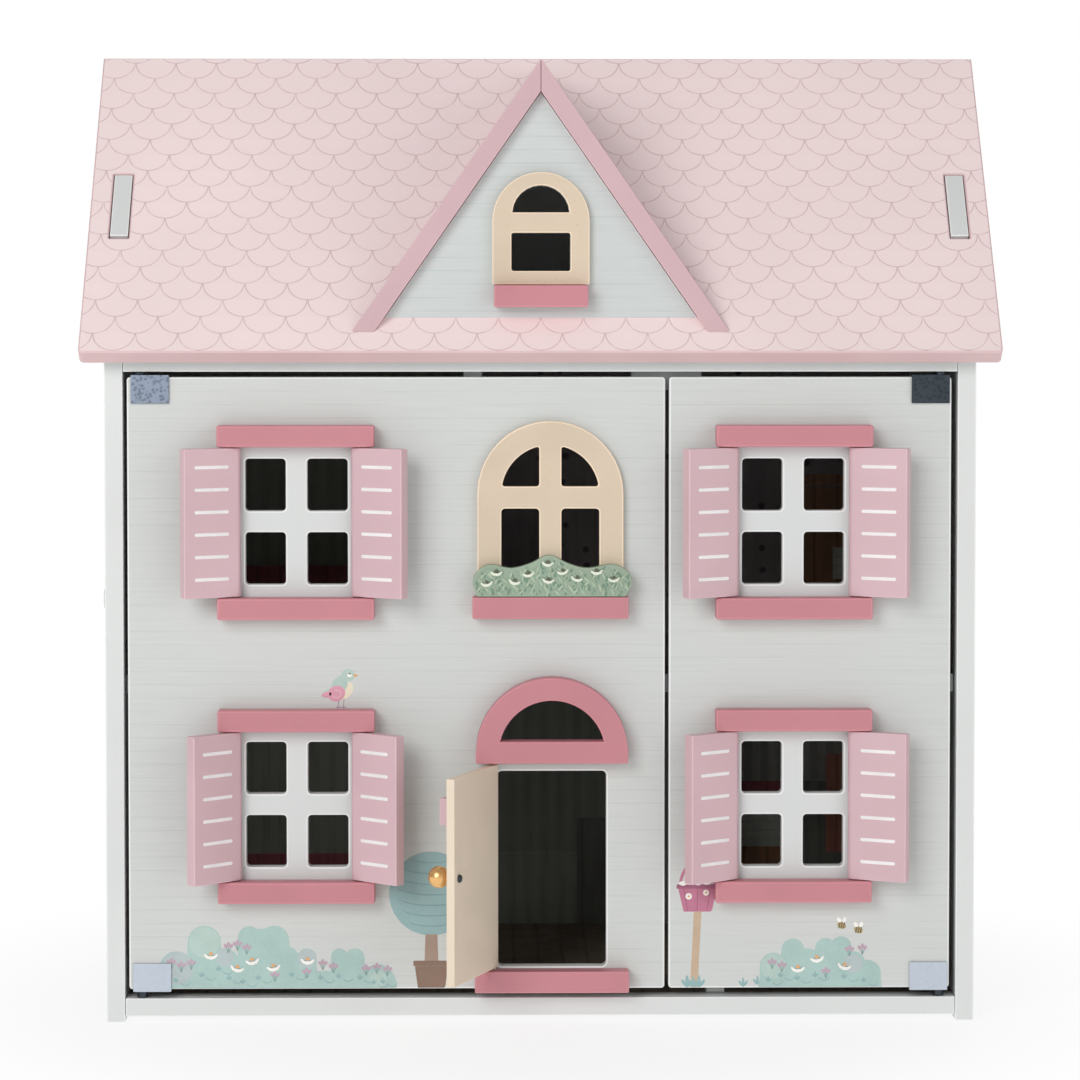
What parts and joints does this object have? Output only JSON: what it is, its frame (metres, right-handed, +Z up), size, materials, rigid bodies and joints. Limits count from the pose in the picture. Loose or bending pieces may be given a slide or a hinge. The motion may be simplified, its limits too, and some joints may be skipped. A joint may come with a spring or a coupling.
{
  "type": "wooden dollhouse",
  "caption": "Gable-roofed wooden dollhouse with hinged front panels, shutters, front door and a lifting roof slope with dormer; open rooms inside.",
  "frame": {"origin": "middle of the base of the whole object, with the front door standing open", "axes": "+Z up, +X to the right seen from the front, +Y towards the back"},
  "size_m": [0.6, 0.3714, 0.6417],
  "materials": {
    "white_paint": "satin white paint",
    "roof_print": "pale pink printed paint, darker pink edges",
    "siding_print": "printed off-white siding",
    "cream_paint": "satin cream paint",
    "rose_paint": "satin rose paint",
    "mauve_paint": "satin mauve paint",
    "leaf_paint": "printed green relief",
    "steel": "zinc plated",
    "brass": "polished",
    "grey_plastic": "moulded"
  },
  "bodies": {
    "carcass": {"side_wall_left": "white_paint", "side_wall_right": "white_paint", "base_board": "white_paint", "first_floor_board": "white_paint", "attic_floor_board": "white_paint", "back_panel": "white_paint", "upper_partition": "white_paint", "lower_partition": "white_paint", "wall_cap": "white_paint", "rear_roof_panel": "roof_print", "magnetic_catch": "grey_plastic", "ridge_hinge_fixed_leaf_left": "steel", "ridge_hinge_fixed_leaf_right": "steel", "ridge_hinge_pin_left": "steel", "ridge_hinge_pin_right": "steel"},
    "roof_front": {"front_roof_panel": "roof_print", "dormer_board_left": "roof_print", "dormer_board_right": "roof_print", "dormer_front": "siding_print", "dormer_window_frame": "cream_paint", "dormer_sill": "rose_paint", "ridge_hinge_moving_leaf_left": "steel", "ridge_hinge_moving_leaf_right": "steel"},
    "left_front": {"left_front_panel": "siding_print", "left_upper_pivot_cap": "steel", "left_lower_pivot_cap": "steel", "left_strike_plate": "steel", "arch_window_frame": "cream_paint", "flower_planter": "leaf_paint", "arch_window_sill": "rose_paint", "fanlight_arch": "rose_paint", "door_step": "rose_paint", "left_upper_lintel": "rose_paint", "left_upper_sill": "rose_paint", "left_lower_lintel": "rose_paint", "left_lower_sill": "rose_paint"},
    "front_door": {"front_door": "cream_paint", "door_knob": "brass", "knob_screw": "steel", "letter_box": "mauve_paint"},
    "right_front": {"right_front_panel": "siding_print", "right_upper_pivot_cap": "steel", "right_lower_pivot_cap": "steel", "right_strike_plate": "steel", "right_upper_lintel": "rose_paint", "right_upper_sill": "rose_paint", "right_lower_lintel": "rose_paint", "right_lower_sill": "rose_paint"},
    "left_upper_shutter_left": {"left_upper_shutter_left": "mauve_paint"},
    "left_upper_shutter_right": {"left_upper_shutter_right": "mauve_paint"},
    "left_lower_shutter_left": {"left_lower_shutter_left": "mauve_paint"},
    "left_lower_shutter_right": {"left_lower_shutter_right": "mauve_paint"},
    "right_upper_shutter_left": {"right_upper_shutter_left": "mauve_paint"},
    "right_upper_shutter_right": {"right_upper_shutter_right": "mauve_paint"},
    "right_lower_shutter_left": {"right_lower_shutter_left": "mauve_paint"},
    "right_lower_shutter_right": {"right_lower_shutter_right": "mauve_paint"}
  },
  "joints": [
    {"name": "roof_front_hinge", "type": "hinge", "parent": "carcass", "child": "roof_front", "pos_m": [0, 0.03652, 0.636], "axis": [-1, 0, 0], "range_deg": [0, 150]},
    {"name": "left_front_hinge", "type": "hinge", "parent": "carcass", "child": "left_front", "pos_m": [-0.2625, -0.10779, 0], "axis": [0, 0, -1], "range_deg": [0, 110]},
    {"name": "right_front_hinge", "type": "hinge", "parent": "carcass", "child": "right_front", "pos_m": [0.2625, -0.10779, 0], "axis": [0, 0, 1], "range_deg": [0, 110]},
    {"name": "front_door_hinge", "type": "hinge", "parent": "left_front", "child": "front_door", "pos_m": [-0.0308, -0.11584, 0.0372], "axis": [0, 0, -1], "range_deg": [-112, 18]},
    {"name": "left_upper_shutter_left_hinge", "type": "hinge", "parent": "left_front", "child": "left_upper_shutter_left", "pos_m": [-0.2, -0.11749, 0.3302], "axis": [0, 0, -1], "range_deg": [-153, 27]},
    {"name": "left_upper_shutter_right_hinge", "type": "hinge", "parent": "left_front", "child": "left_upper_shutter_right", "pos_m": [-0.12, -0.11749, 0.3302], "axis": [0, 0, 1], "range_deg": [-148, 32]},
    {"name": "left_lower_shutter_left_hinge", "type": "hinge", "parent": "left_front", "child": "left_lower_shutter_left", "pos_m": [-0.2, -0.11749, 0.144], "axis": [0, 0, -1], "range_deg": [-138, 42]},
    {"name": "left_lower_shutter_right_hinge", "type": "hinge", "parent": "left_front", "child": "left_lower_shutter_right", "pos_m": [-0.12, -0.11749, 0.144], "axis": [0, 0, 1], "range_deg": [-140, 40]},
    {"name": "right_upper_shutter_left_hinge", "type": "hinge", "parent": "right_front", "child": "right_upper_shutter_left", "pos_m": [0.1256, -0.11749, 0.3302], "axis": [0, 0, -1], "range_deg": [-149, 31]},
    {"name": "right_upper_shutter_right_hinge", "type": "hinge", "parent": "right_front", "child": "right_upper_shutter_right", "pos_m": [0.2056, -0.11749, 0.3302], "axis": [0, 0, 1], "range_deg": [-155, 25]},
    {"name": "right_lower_shutter_left_hinge", "type": "hinge", "parent": "right_front", "child": "right_lower_shutter_left", "pos_m": [0.1256, -0.11749, 0.144], "axis": [0, 0, -1], "range_deg": [-144, 36]},
    {"name": "right_lower_shutter_right_hinge", "type": "hinge", "parent": "right_front", "child": "right_lower_shutter_right", "pos_m": [0.2056, -0.11749, 0.144], "axis": [0, 0, 1], "range_deg": [-155, 25]}
  ]
}
